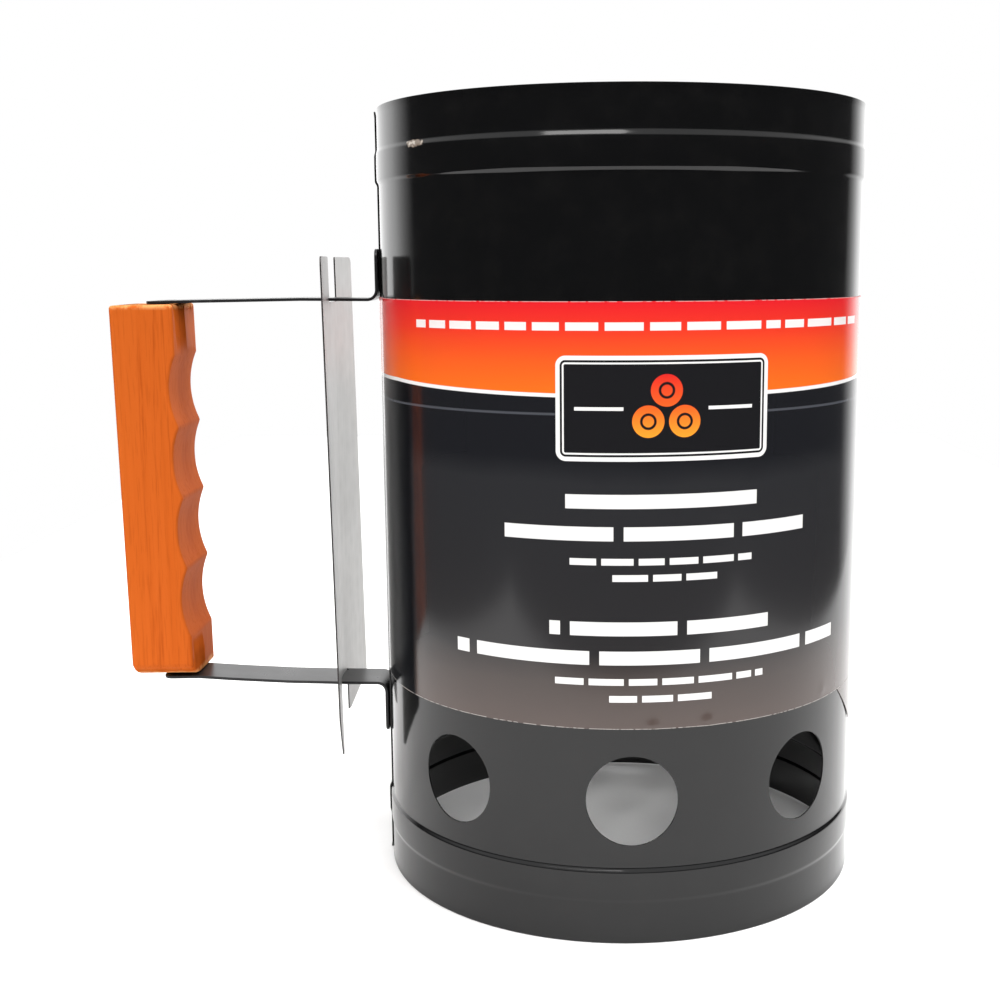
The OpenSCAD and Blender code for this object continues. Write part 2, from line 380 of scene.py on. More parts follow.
@dataclass(frozen=True)
class BlackEnamel(Finish):
    """Baked black enamel: wet-looking, with a faint orange peel."""

    name: str = "wet_black_enamel"
    gloss: float = 0.09
    colour: Triple = (0.0036, 0.0037, 0.0040)
    dusty: Triple = (0.0085, 0.0082, 0.008)
    bright: Triple = (0.55, 0.50, 0.44)
    rusty: Triple = (0.20, 0.155, 0.12)
    chip_round: float = 38.3
    chip_z: float = 0.2875
    chip_half_l: float = 0.0060
    chip_half_h: float = 0.0015

    def mix(self, graph: NodeGraph, place: Socket) -> bpy.types.Material:
        """Enamel with dust in its gloss and a bare chip by the upper bead."""
        peel = graph.noise(place, 420.0, 2.0, 0.45)
        sag = graph.noise(place, (38.0, 38.0, 13.3), 1.0, 0.4)
        dust = graph.noise(place, 95.0, 5.0, 0.6)
        x, y, z = graph.parts(place)
        flake = graph.noise(place, 520.0, 3.0, 0.6)
        cos, sin = (f(math.radians(self.chip_round)) for f in (math.cos, math.sin))
        along = (x * sin - y * cos) / self.chip_half_l
        up = (z - self.chip_z) / self.chip_half_h
        far = (along * along + up * up).root() + (flake - 0.5) * 1.5
        near_side = 1.0 - (x * cos + y * sin).above(-0.09, 0.002)
        chip = (1.0 - far.above(0.9, 0.2)) * near_side
        shade = graph.blend(dust.above(0.62, 0.3) * 0.5, self.colour, self.dusty)
        bare = graph.blend(flake.above(0.40, 0.06), self.bright, self.rusty)
        return graph.surface(
            Base_Color=graph.blend(chip, shade, bare),
            Roughness=self.gloss + dust.above(0.55, 0.5) * 0.05 + chip * 0.2,
            Normal=graph.relief(peel, 0.012, 0.35, graph.relief(sag, 0.25, 0.30)),
            IOR=1.43,
        )


@dataclass(frozen=True)
class SatinEnamel(Finish):
    """Thinner black enamel on straps and their rivets, rubbed grey in places."""

    name: str = "satin_enamel"
    gloss: float = 0.24
    colour: Triple = (0.013, 0.013, 0.014)
    rubbed: Triple = (0.05, 0.049, 0.047)

    def mix(self, graph: NodeGraph, place: Socket) -> bpy.types.Material:
        """Satin black with rubbed patches."""
        peel = graph.noise(place, 650.0, 2.0, 0.5)
        rub = graph.noise(place, 60.0, 6.0, 0.62)
        return graph.surface(
            Base_Color=graph.blend(rub.above(0.66, 0.2), self.colour, self.rubbed),
            Roughness=self.gloss + rub.above(0.5, 0.6) * 0.12,
            Normal=graph.relief(peel, 0.02, 0.4),
            IOR=1.36,
        )


@dataclass(frozen=True)
class ZincSheet(Finish):
    """Galvanised sheet with a fine rolled grain."""

    name: str = "rolled_zinc"
    sheared: Triple = (0.035, 0.030, 0.030)

    def mix(self, graph: NodeGraph, place: Socket) -> bpy.types.Material:
        """Dull zinc with long rolling lines, faint spangle and dark sheared edges."""
        lines = graph.noise(place, (900.0, 900.0, 9.0), 4.0, 0.6)
        spangle = graph.node(
            "ShaderNodeTexVoronoi", None, {"Vector": place, "Scale": 160.0}
        )
        leaf = Shade(graph, spangle.outputs["Distance"])
        smudge = graph.noise(place, 26.0, 4.0, 0.6)
        cut = graph.spread(HeatShield.CUT)
        shade = graph.ramp(
            lines * 0.55 + smudge * 0.3 + leaf * 0.15,
            [
                (0.25, 0.30, 0.295, 0.288),
                (0.55, 0.395, 0.39, 0.382),
                (0.85, 0.475, 0.47, 0.462),
            ],
        )
        return graph.surface(
            Base_Color=graph.blend(cut, shade, self.sheared),
            Metallic=1.0 - cut * 0.6,
            Roughness=0.30 + smudge * 0.16 + lines * 0.08,
            Normal=graph.relief(lines, 0.01, 0.35),
        )


@dataclass(frozen=True)
class BareSteel(Finish):
    """Plain steel of the grate, tinted by heat towards the middle."""

    name: str = "bare_steel"
    radius: float = 0.095
    scaled: Triple = (0.11, 0.10, 0.095)

    def mix(self, graph: NodeGraph, place: Socket) -> bpy.types.Material:
        """Mill-grey steel with straw and blue heat tints and a little scale."""
        x, y, _ = graph.parts(place)
        out = (x * x + y * y).root() / self.radius
        cloud = graph.noise(place, 34.0, 5.0, 0.6)
        scale = graph.noise(place, 240.0, 3.0, 0.6)
        flecks = scale.above(0.62, 0.12)
        tint = graph.ramp(
            out * 0.75 + cloud * 0.4,
            [
                (0.15, 0.30, 0.31, 0.33),
                (0.40, 0.36, 0.33, 0.29),
                (0.62, 0.45, 0.435, 0.41),
                (1.0, 0.50, 0.50, 0.495),
            ],
        )
        return graph.surface(
            Base_Color=graph.blend(flecks * 0.6, tint, self.scaled),
            Metallic=1.0 - flecks * 0.5,
            Roughness=0.34 + cloud * 0.22,
            Normal=graph.relief(scale, 0.02, 0.3),
        )


@dataclass(frozen=True)
class DarkScrew(Finish):
    """Phosphated screw steel."""

    name: str = "phosphated_screw"
    colour: Triple = (0.06, 0.06, 0.065)
    rubbed: Triple = (0.22, 0.22, 0.22)

    def mix(self, graph: NodeGraph, place: Socket) -> bpy.types.Material:
        """Dark grey screw steel, brighter where a driver has rubbed it."""
        grain = graph.noise(place, 900.0, 3.0, 0.6)
        return graph.surface(
            Base_Color=graph.blend(grain.above(0.55, 0.3), self.colour, self.rubbed),
            Metallic=1.0,
            Roughness=0.32 + grain * 0.15,
            Normal=graph.relief(grain, 0.01, 0.4),
        )


@dataclass(frozen=True)
class StainedWood(Finish):
    """Close-grained wood under an orange-brown stain with little shine."""

    name: str = "orange_stained_wood"
    inner_x: float = -0.1752
    low_z: float = 0.0764
    high_z: float = 0.2296
    pore: Triple = (0.30, 0.048, 0.004)
    vein: Triple = (0.32, 0.045, 0.004)
    # Painted shade colour for the side that faces the tube.
    tube_side_shade: Triple = (0.42, 0.070, 0.0070)
    # Pale colour of the abraded top edge, also laid along the lower end as a painted
    # highlight.
    abrasion_and_highlight: Triple = (0.80, 0.36, 0.13)

    def mix(self, graph: NodeGraph, place: Socket) -> bpy.types.Material:
        """Stained wood with grain along its length and pores, an abraded top edge, a
        lower end that is partly abraded and partly painted highlight, and painted shade
        on its tube-facing side.
        """
        x, _, z = graph.parts(place)
        slow = graph.noise(place, (70.0, 70.0, 1.6), 2.0, 0.5, 0.15)
        figure = graph.noise(place, (330.0, 330.0, 5.0), 3.0, 0.55, 0.1)
        pores = graph.noise(place, (1500.0, 1500.0, 75.0), 2.0, 0.5)
        smear = graph.noise(place, 22.0, 4.0, 0.6)
        tone = graph.ramp(
            slow * 0.50 + figure * 0.42 + smear * 0.08,
            [
                (0.28, 0.450, 0.080, 0.0095),
                (0.46, 0.520, 0.100, 0.0125),
                (0.60, 0.550, 0.110, 0.0150),
                (0.80, 0.600, 0.128, 0.0190),
            ],
        )
        streak = pores.above(0.60, 0.10)
        tone = graph.blend(streak * 0.22, tone, self.pore)
        vein = slow.between(0.495, 0.505, 0.012) * pores.above(0.45, 0.2)
        tone = graph.blend(vein * 0.45, tone, self.vein)
        # Painted shade: the side that faces the tube, scallops and all, is painted
        # darker, standing in for the shade of the tube.
        cut = (x - self.inner_x + 0.0022).above(0.0, 0.0045)
        tone = graph.blend(cut * 0.30, tone, self.tube_side_shade)
        # The top edge is pale where abraded; the pale band along the lower end is
        # partly abrasion and partly a painted highlight.
        abrasion_patches = graph.noise(place, (260.0, 260.0, 150.0), 5.0, 0.65)
        top = z.above(self.high_z - 0.0016, 0.0012)
        foot = (0.0 - z).above(-self.low_z - 0.0028, 0.0016)
        abrasion_and_highlight = (top + foot).at_most(1.0) * abrasion_patches.above(0.46, 0.16)
        tone = graph.blend(abrasion_and_highlight * 0.75, tone, self.abrasion_and_highlight)
        return graph.surface(
            Base_Color=tone,
            Roughness=0.44 + smear * 0.16 + streak * 0.10,
            Normal=graph.relief(pores, 0.03, 0.25, graph.relief(figure, 0.10, 0.20)),
            IOR=1.45,
            Specular_IOR_Level=0.025,
        )


@dataclass(frozen=True)
class PrintLine:
    """A line of plain bars on the label, in the place of words."""

    low: float
    high: float
    half: float
    word: float
    gap: float
    shift: float


@dataclass(frozen=True)
class PrintedLabel(Finish):
    """Printed and varnished paper wrap."""

    name: str = "varnished_print"
    middle: float = 97.7
    low_z: float = 81.0
    tall: float = 151.0
    round_trip: float = 602.2
    soft: float = 0.15
    arc_z: float = 200.3
    arc_rise: float = 1.9
    arc_half: float = 105.0
    arc_end: float = 118.0
    panel: Pair = (-107.5, 128.0)
    badge: Pair = (0.3, 195.4)
    badge_half: Pair = (38.6, 18.2)
    badge_r: float = 3.5
    coal_r: float = 5.6
    white: Triple = (0.86, 0.85, 0.84)
    black: Triple = (0.0105, 0.0105, 0.012)
    side: Triple = (0.0035, 0.0040, 0.0055)
    thin: Triple = (0.085, 0.090, 0.105)
    paper: Triple = (0.62, 0.59, 0.56)
    lines: tuple[PrintLine, ...] = (
        PrintLine(222.1, 224.9, 101.0, 13.0, 2.2, 0.3),
        PrintLine(160.6, 165.6, 35.0, 70.0, 0.0, 0.5),
        PrintLine(149.2, 154.2, 58.0, 44.0, 3.6, 0.15),
        PrintLine(140.6, 143.0, 33.5, 11.0, 1.8, 0.7),
        PrintLine(134.8, 137.2, 20.0, 12.0, 1.8, 0.2),
        PrintLine(115.2, 120.2, 41.0, 42.0, 3.6, 0.62),
        PrintLine(104.6, 109.6, 80.0, 40.0, 3.6, 0.4),
        PrintLine(97.2, 99.6, 39.0, 12.0, 1.8, 0.9),
        PrintLine(91.0, 93.4, 19.5, 13.0, 1.8, 0.45),
    )

    def _words(self, graph: NodeGraph, line: PrintLine, s: Shade, z: Shade) -> Shade:
        """Mask of one line of bars.

        Args:
            graph: The node tree.
            line: The line's place and rhythm.
            s: Millimetres round from the label's middle.
            z: Height in millimetres.

        Returns:
            The mask.
        """
        reach = 1.0 - abs(s).above(line.half, self.soft)
        mask = z.between(line.low, line.high, self.soft) * reach
        if not line.gap:
            return mask
        cells = graph.node(
            "ShaderNodeTexVoronoi",
            {"voronoi_dimensions": "1D", "feature": "DISTANCE_TO_EDGE"},
            {"W": s / line.word + line.shift, "Scale": 1.0, "Randomness": 0.75},
        )
        edge = Shade(graph, cells.outputs["Distance"]) * line.word
        return mask * edge.above(line.gap / 2, self.soft)

    def _plate(self, s: Shade, z: Shade) -> Shade:
        """Distance outside the badge's rounded plate, negative inside it."""
        a = abs(s) - (self.badge_half[0] - self.badge_r)
        b = abs(z) - (self.badge_half[1] - self.badge_r)
        far = (a.at_least(0.0) ** 2.0 + b.at_least(0.0) ** 2.0).root()
        near = a.at_least(b).at_most(0.0)
        return far + near - self.badge_r

    def _coals(self, s: Shade, z: Shade) -> tuple[Shade, Shade]:
        """Three stacked coals for the badge.

        Args:
            s: Millimetres round from the badge's middle.
            z: Height above the badge's middle.

        Returns:
            The mask of the coals and how near the rim of one each point is.
        """
        nearest = None
        for at_s, at_z in ((-6.4, -4.4), (6.4, -4.4), (0.0, 6.3)):
            d = ((s - at_s) ** 2.0 + (z - at_z) ** 2.0).root()
            nearest = d if nearest is None else nearest.at_most(d)
        return 1.0 - nearest.above(self.coal_r, self.soft), nearest / self.coal_r

    def mix(self, graph: NodeGraph, place: Socket) -> bpy.types.Material:
        """Red to orange band over a black field that carries a painted reflection near
        its foot, with a plain badge and bars.
        """
        u, v, _ = graph.parts(graph.print_place())
        s = (u - (self.middle + 180.0) / 360.0) * self.round_trip
        z = v * self.tall + self.low_z

        cloud = graph.noise(place, (17.0, 17.0, 27.2), 3.0, 0.5)
        # Painted reflection: the field is painted lighter and warmer towards the
        # label's lower edge, standing in for the pale floor's reflection; its dark
        # tones higher up are print.
        field_and_reflection = graph.ramp(
            (z - self.low_z) / 110.0 + (cloud - 0.5) * 0.10,
            [
                (0.0, 0.084, 0.063, 0.056),
                (0.14, 0.058, 0.046, 0.042),
                (0.24, 0.022, 0.021, 0.022),
                (0.80, 0.022, 0.0225, 0.025),
                (0.88, 0.0105, 0.011, 0.0135),
            ],
        )
        panel = s.between(*self.panel, 3.0)
        field_and_reflection = graph.blend(1.0 - panel, field_and_reflection, self.side)
        bend = abs(s).at_most(self.arc_end) / self.arc_half
        arc = self.arc_z + bend**2.0 * self.arc_rise
        hot = graph.ramp(
            (z - 200.0) / 32.0,
            [
                (0.0, 0.86, 0.155, 0.014),
                (0.35, 0.84, 0.105, 0.016),
                (0.70, 0.78, 0.040, 0.020),
                (1.0, 0.72, 0.014, 0.022),
            ],
        )
        tone = graph.blend(z.above(arc, 0.2), field_and_reflection, hot)
        tone = graph.blend((z - arc).between(-1.3, 0.0, 0.2), tone, self.white)
        tone = graph.blend(z.between(193.0, 193.8, 0.3) * 0.8, tone, self.thin)

        ink = None
        for line in self.lines:
            mask = self._words(graph, line, s, z)
            ink = mask if ink is None else ink + mask
        tone = graph.blend(ink.at_most(1.0) * 0.93, tone, self.white)

        bs, bz = s - self.badge[0], z - self.badge[1]
        plate = self._plate(bs, bz)
        tone = graph.blend(1.0 - plate.above(0.0, self.soft), tone, self.white)
        tone = graph.blend(1.0 - plate.above(-1.5, self.soft), tone, self.black)
        tone = graph.blend(plate.between(-2.9, -2.3, self.soft), tone, self.white)
        coals, rim = self._coals(bs, bz)
        ember = graph.ramp(
            (bz + 11.0) / 23.0,
            [(0.0, 0.95, 0.36, 0.03), (0.5, 0.88, 0.12, 0.02), (1.0, 0.68, 0.02, 0.02)],
        )
        tone = graph.blend(coals, tone, ember)
        tone = graph.blend(coals * rim.between(0.35, 0.52, 0.05), tone, self.black)
        rules = abs(bs).between(15.0, 32.0, self.soft)
        rules = (1.0 - abs(bz).above(0.6, self.soft)) * rules
        tone = graph.blend(rules, tone, self.white)

        fray = graph.noise(place, 700.0, 2.0, 0.5)
        edge = v.above(0.9984, 0.0008) + v.between(-0.002, 0.0016, 0.0008)
        edge = edge * fray.above(0.42, 0.1)
        tone = graph.blend(edge * 0.55, tone, self.paper)
        ripple = graph.noise(place, (30.0, 30.0, 15.0), 2.0, 0.5)
        fibre = graph.noise(place, 900.0, 2.0, 0.5)
        return graph.surface(
            Base_Color=tone,
            Roughness=0.11 + cloud * 0.06 + edge * 0.5,
            Normal=graph.relief(fibre, 0.008, 0.25, graph.relief(ripple, 0.30, 0.25)),
            IOR=1.40,
        )


# ---------------------------------------------------------------------- bench


def around(r: float, degrees: float, z: float) -> Vector:
    """The point at a radius, an angle from +X and a height."""
    a = math.radians(degrees)
    return Vector((r * math.cos(a), r * math.sin(a), z))


def into_scene(name: str, data: bpy.types.ID | Mesh) -> bpy.types.Object:
    """Puts a lamp, a camera or a finished mesh, which is used up, into the scene."""
    if isinstance(data, Mesh):
        mesh, data = data, bpy.data.meshes.new(name)
        mesh.to_mesh(data)
        mesh.free()
    made = bpy.data.objects.new(name, data)
    bpy.context.scene.collection.objects.link(made)
    return made


def inward(p: Vector) -> Vector:
    """The direction from a point to the tube's axis."""
    return Vector((-p.x, -p.y, 0)).normalized()


class Bench:
    """Where sheets are cut, rolled and folded, and pieces are handed over."""

    @staticmethod
    def _bevel(mesh: Mesh, geom: list, r: float, segments: int, affect: str) -> None:
        """Rounds edges, or the corners of a flat sheet."""
        bmesh.ops.bevel(
            mesh,
            geom=geom,
            offset=r,
            offset_type="OFFSET",
            segments=segments,
            profile=0.5,
            affect=affect,
            material=-1,
            clamp_overlap=True,
        )

    @staticmethod
    def draw_out(
        mesh: Mesh,
        edges: Iterable[Edge],
        steps: Iterable[Vector],
    ) -> list[Edge]:
        """Pulls a row of edges out into strips of faces.

        Args:
            mesh: The sheet.
            edges: The row.
            steps: How far each strip goes.

        Returns:
            The last strip's outer edges.
        """
        row = list(edges)
        for step in steps:
            made = bmesh.ops.extrude_edge_only(mesh, edges=row)["geom"]
            moved = [e for e in made if isinstance(e, Vert)]
            bmesh.ops.translate(mesh, verts=moved, vec=step)
            row = [e for e in made if isinstance(e, Edge)]
            row = [e for e in row if all(v in moved for v in e.verts)]
        return row

    @staticmethod
    def row_at(mesh: Mesh, axis: int, value: float) -> list[Edge]:
        """Boundary edges that lie at one value along an axis."""
        return [
            e
            for e in mesh.edges
            if e.is_boundary and all(abs(v.co[axis] - value) < 1e-3 for v in e.verts)
        ]

    @staticmethod
    def cut(
        mesh: Mesh,
        at: Sequence[float],
        across: Sequence[float],
        drop: bool = False,
    ) -> None:
        """Cuts a sheet along a plane.

        Args:
            mesh: The sheet.
            at: A point on the plane.
            across: The plane's normal.
            drop: Whether the side that the normal points to is thrown away.
        """
        geom = [*mesh.verts, *mesh.edges, *mesh.faces]
        bmesh.ops.bisect_plane(
            mesh, geom=geom, dist=1e-5, plane_co=at, plane_no=across, clear_outer=drop
        )

    @classmethod
    def punch(
        cls, mesh: Mesh, x: float, y: float, r: float, segments: int = 32
    ) -> None:
        """Punches a round hole in a flat sheet that lies in the XY plane.

        Args:
            mesh: The sheet.
            x: The hole's middle.
            y: The hole's middle, across.
            r: The hole's radius.
            segments: How many sides its round edge has.
        """
        frame_r = r * 1.15
        for side in (-1, 0, 1):
            cls.cut(mesh, (x + side * frame_r, 0, 0), (1, 0, 0))
            cls.cut(mesh, (0, y + side * frame_r, 0), (0, 1, 0))
        inside = [
            f
            for f in mesh.faces
            if abs(f.calc_center_median().x - x) < frame_r
            and abs(f.calc_center_median().y - y) < frame_r
        ]
        bmesh.ops.delete(mesh, geom=inside, context="FACES")
        square = [
            e
            for e in mesh.edges
            if e.is_boundary
            and all(
                abs(v.co.x - x) < frame_r + 1e-3 and abs(v.co.y - y) < frame_r + 1e-3
                for v in e.verts
            )
        ]
        made = bmesh.ops.create_circle(
            mesh, segments=segments, radius=r, matrix=Matrix.Translation((x, y, 0))
        )
        ring = {e for v in made["verts"] for e in v.link_edges}
        bmesh.ops.bridge_loops(mesh, edges=[*square, *ring])

    @classmethod
    def corners(
        cls,
        mesh: Mesh,
        points: Sequence[Pair],
        r: float,
        segments: int,
    ) -> None:
        """Rounds corners of a flat sheet that lies in the XY plane.

        Args:
            mesh: The sheet.
            points: Where the corners are.
            r: How far from the corner the rounding starts.
            segments: How many steps it has.
        """
        verts = [
            v
            for v in mesh.verts
            if any(abs(v.co.x - x) + abs(v.co.y - y) < 1e-3 for x, y in points)
        ]
        cls._bevel(mesh, verts, r, segments, "VERTICES")

    @staticmethod
    def one_face(mesh: Mesh) -> None:
        """Joins a flat sheet's faces into one."""
        bmesh.ops.dissolve_faces(mesh, faces=list(mesh.faces), use_verts=True)

    @staticmethod
    def shape(mesh: Mesh, place: Callable[[Vector], Vector]) -> None:
        """Moves every point of a sheet, as a press or a roller does."""
        for v in mesh.verts:
            v.co = place(v.co.copy())

    @staticmethod
    def thicken(mesh: Mesh, t: float, inside: Callable[[Vector], Vector]) -> None:
        """Gives a sheet its thickness on the side that inside() points to.

        Args:
            mesh: The sheet, which is the outer skin.
            t: The thickness.
            inside: The direction from a point of the skin into the sheet.
        """
        mesh.normal_update()
        bmesh.ops.recalc_face_normals(mesh, faces=list(mesh.faces))
        mesh.normal_update()
        lean = sum(
            f.calc_area() * f.normal.dot(inside(f.calc_center_median()))
            for f in mesh.faces
        )
        if lean > 0:
            bmesh.ops.reverse_faces(mesh, faces=list(mesh.faces))
            mesh.normal_update()
        bmesh.ops.solidify(mesh, geom=list(mesh.faces), thickness=t)
        mesh.normal_update()
        bmesh.ops.recalc_face_normals(mesh, faces=list(mesh.faces))

    @classmethod
    def break_edges(
        cls,
        mesh: Mesh,
        r: float,
        segments: int = 2,
        sharper: float = 50.0,
        where: Callable[[Edge], bool] | None = None,
    ) -> None:
        """Takes the sharpness off edges.

        Args:
            mesh: The piece.
            r: The size of the rounding.
            segments: How many steps it has.
            sharper: Edges that turn by more than this many degrees are rounded.
            where: Which of them are rounded, if not all.
        """
        mesh.normal_update()
        edges = [
            e
            for e in mesh.edges
            if len(e.link_faces) == 2
            and e.calc_face_angle(0.0) > math.radians(sharper)
            and (where is None or where(e))
        ]
        cls._bevel(mesh, edges, r, segments, "EDGES")

    @staticmethod
    def lathe(profile: Sequence[Pair], steps: int = 36) -> Mesh:
        """Turns a closed piece round the X axis.

        Args:
            profile: (distance along X, radius) from one end to the other.
            steps: How many steps the turn has.

        Returns:
            The turned piece.
        """
        mesh = bmesh.new()
        verts = [mesh.verts.new((x, 0.0, r)) for x, r in profile]
        edges = [mesh.edges.new(pair) for pair in zip(verts, verts[1:])]
        bmesh.ops.spin(
            mesh,
            geom=[*verts, *edges],
            cent=(0, 0, 0),
            axis=(1, 0, 0),
            angle=math.tau,
            steps=steps,
            use_merge=True,
        )
        bmesh.ops.remove_doubles(mesh, verts=list(mesh.verts), dist=1e-4)
        bmesh.ops.recalc_face_normals(mesh, faces=list(mesh.faces))
        return mesh

    @staticmethod
    def hand_over(
        mesh: Mesh,
        name: str,
        finish: Finish,
        slot: Slot,
        nodes: Sequence[str],
        sharp: float = 40.0,
    ) -> bpy.types.Object:
        """Makes a finished mesh a piece of the model.

        Args:
            mesh: The mesh, in millimetres; it is used up.
            name: The piece's name.
            finish: What it is dressed in.
            slot: The record's slot for that finish; not used.
            nodes: The CAD nodes that it stands for.
            sharp: Edges that turn by more than this many degrees stay crisp.

        Returns:
            The piece.
        """
        bmesh.ops.scale(mesh, verts=list(mesh.verts), vec=(MM, MM, MM))
        piece = into_scene(name, mesh)
        data = piece.data
        data.shade_smooth()
        data.set_sharp_from_angle(angle=math.radians(sharp))
        data.materials.append(finish.make())
        flat = piece.modifiers.new("even_shading", "WEIGHTED_NORMAL")
        flat.keep_sharp = True
        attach(piece, BODY)
        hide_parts(*nodes)
        LOG.info("%s: %d faces, stands for %s", name, len(data.polygons), list(nodes))
        return piece

    @staticmethod
    def dress_node(node: str, finish: Finish) -> None:
        """Gives a CAD node its finish."""
        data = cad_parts[node].data
        data.materials.clear()
        data.materials.append(finish.make())
        LOG.info("%s: CAD node dressed in %s", node, finish.name)


# ------------------------------------------------------------- sub-assemblies


@dataclass
class ChimneyTube:
    """The rolled sheet-steel tube with its beads, lapped seam and air holes."""

    outer_r: float = 95.5
    height: float = 304.0
    sheet: float = 0.6
    bead_out: float = 0.9
    bead_h: float = 14.0
    bead_gap: float = 15.0
    bead_slope: float = 2.2
    bead_arch: float = 0.10
    rim_step: float = 0.4
    vent_count: int = 7
    vent_d: float = 33.5
    vent_z: float = 54.0
    vent_pitch: float = 42.8
    vent_middle: float = 176.6
    lap_outer: float = 364.0
    lap_inner: float = -8.0
    lap_rise: float = 290.0
    lap_gap: float = 0.05
    patch_half_h: float = 25.0
    side_cells: int = 12
    top_cells: int = 20
    end_strips: int = 17
    flare: float = 0.22
    flare_h: float = 2.6
    edge_r: float = 0.14
    finish: Finish = field(default_factory=BlackEnamel)

    def lap_lift(self, round_deg: float) -> float:
        """How far the outer lap has risen off the circle at an angle round."""

        def climb(degrees: float) -> float:
            """The rise's shape."""
            return 1 - math.cos(math.radians(degrees))

        if round_deg <= self.lap_rise:
            return 0.0
        full = climb(360.0 + self.lap_inner - self.lap_rise)
        return (self.sheet + self.lap_gap) / full * climb(round_deg - self.lap_rise)

    @staticmethod
    def _ease(t: float) -> float:
        """Smooth step from 0 to 1."""
        t = min(1.0, max(0.0, t))
        return t * t * (3 - 2 * t)

    def stand(self, z: float) -> float:
        """How far the outer skin stands off the plain circle at a height.

        Args:
            z: The height.

        Returns:
            The distance, with both beads and the rims' slight flare.
        """
        end = min(z, self.height - z)
        outer_side, inner_side = self.bead_gap, self.bead_gap + self.bead_h
        if end <= outer_side:
            return self.rim_step + self.flare * self._ease(1 - end / self.flare_h)
        if end >= inner_side:
            return 0.0
        rise = self._ease((end - outer_side) / self.bead_slope)
        fall = self._ease((inner_side - end) / self.bead_slope)
        arch = math.sin(math.pi * (end - outer_side) / self.bead_h)
        crown = 1 - self.bead_arch * (1 - arch)
        if rise < 1.0:
            return self.rim_step + (self.bead_out * crown - self.rim_step) * rise
        return self.bead_out * crown * fall

    def _cell(self, mesh: Mesh) -> None:
        """Lays one flat cell of the sheet, with its air hole in the middle.

        Args:
            mesh: The flat sheet, degrees round along X and height along Z.
        """
        cells = 2 * (self.side_cells + self.top_cells)
        turn = Matrix.Rotation(math.radians(90), 4, "X")
        at = Matrix.Translation((0, 0, self.vent_z))
        hole = bmesh.ops.create_circle(
            mesh, segments=cells, radius=self.vent_d / 2, matrix=at @ turn
        )["verts"]
        rim = bmesh.ops.create_circle(
            mesh, segments=cells, radius=self.vent_d, matrix=at @ turn
        )["verts"]
        w, h = math.radians(self.vent_pitch / 2) * self.outer_r, self.patch_half_h
        side, top = self.side_cells // 2, self.top_cells
        turns = [(side, w, h), (top, -w, h), (2 * side, -w, -h), (top, w, -h)]
        border = []
        x0, z0 = w, 0.0
        for count, x, z in [*turns, (side, w, 0.0)]:
            shares = [k / count for k in range(count)]
            border += [(x0 + (x - x0) * t, z0 + (z - z0) * t) for t in shares]
            x0, z0 = x, z
        for v in rim:
            angle = math.atan2(v.co.z - self.vent_z, v.co.x)
            x, z = border[round(angle / math.tau * cells) % cells]
            v.co = (x, 0, self.vent_z + z)
        loops = {e for v in [*hole, *rim] for e in v.link_edges}
        bridge = bmesh.ops.bridge_loops(mesh, edges=list(loops))
        spokes = [e for e in bridge["edges"] if e not in loops]
        bmesh.ops.subdivide_edges(mesh, edges=spokes, cuts=6, use_grid_fill=True)
        for v in mesh.verts:
            v.co.x = math.degrees(v.co.x / self.outer_r)

    def build(self) -> bpy.types.Object:
        """Lays out the sheet flat, forms its beads, rolls it and laps its seam."""
        mesh = bmesh.new()
        self._cell(mesh)
        reach = self.vent_count / 2 * self.vent_pitch
        first, last = self.vent_middle - reach, self.vent_middle + reach
        cell = [*mesh.verts, *mesh.edges, *mesh.faces]
        for i in range(1, self.vent_count):
            made = bmesh.ops.duplicate(mesh, geom=cell)["geom"]
            copied = [v for v in made if isinstance(v, Vert)]
            bmesh.ops.translate(mesh, verts=copied, vec=(i * self.vent_pitch, 0, 0))
        start = first + self.vent_pitch / 2
        bmesh.ops.translate(mesh, verts=list(mesh.verts), vec=(start, 0, 0))
        bmesh.ops.remove_doubles(mesh, verts=list(mesh.verts), dist=1e-3)
        steps = self.end_strips
        for start, end in ((first, self.lap_inner), (last, self.lap_outer)):
            step = Vector(((end - start) / steps, 0, 0))
            Bench.draw_out(mesh, Bench.row_at(mesh, 0, start), [step] * steps)
        low = self.vent_z - self.patch_half_h
        high = self.vent_z + self.patch_half_h
        for start, levels in (
            (low, self._levels_down(low)),
            (high, self._levels_up(high)),
        ):
            zs = [start, *levels]
            moves = [Vector((0, 0, b - a)) for a, b in zip(zs, zs[1:])]
            Bench.draw_out(mesh, Bench.row_at(mesh, 2, start), moves)

        def roll(p: Vector) -> Vector:
            """Rolls one point of the flat sheet."""
            r = self.outer_r + self.stand(p.z) + self.lap_lift(p.x)
            return around(r, 180 + p.x, p.z)

        Bench.shape(mesh, roll)
        Bench.thicken(mesh, self.sheet, inward)
        Bench.break_edges(mesh, self.edge_r, 2)
        return Bench.hand_over(
            mesh, "rolled_tube", self.finish, Slot.ENAMEL, ["chimney_tube"], 45.0
        )

    def _bead_levels(self) -> list[float]:
        """Heights above a rim at which the sheet is creased for the rim and a bead."""
        a, b, s = self.bead_gap, self.bead_gap + self.bead_h, self.bead_slope
        rim = [0.0, 0.7, 1.5, 2.6, 5.0, 10.0, a - 1.0]
        rise = [a + s * k / 6 for k in range(7)]
        crown = [a + s + (self.bead_h - 2 * s) * k / 4 for k in range(1, 4)]
        fall = [b - s + s * k / 6 for k in range(7)]
        return [*rim, *rise, *crown, *fall]

    def _levels_down(self, start: float) -> list[float]:
        """Heights from the air holes' cells down to the lower rim."""
        return [z for z in reversed(self._bead_levels()) if z < start - 0.01]

    def _levels_up(self, start: float) -> list[float]:
        """Heights from the air holes' cells up to the upper rim."""
        bead = [self.height - z for z in reversed(self._bead_levels())]
        plain = [start + (bead[0] - 1.0 - start) * k / 12 for k in range(1, 13)]
        return [*plain, *bead]


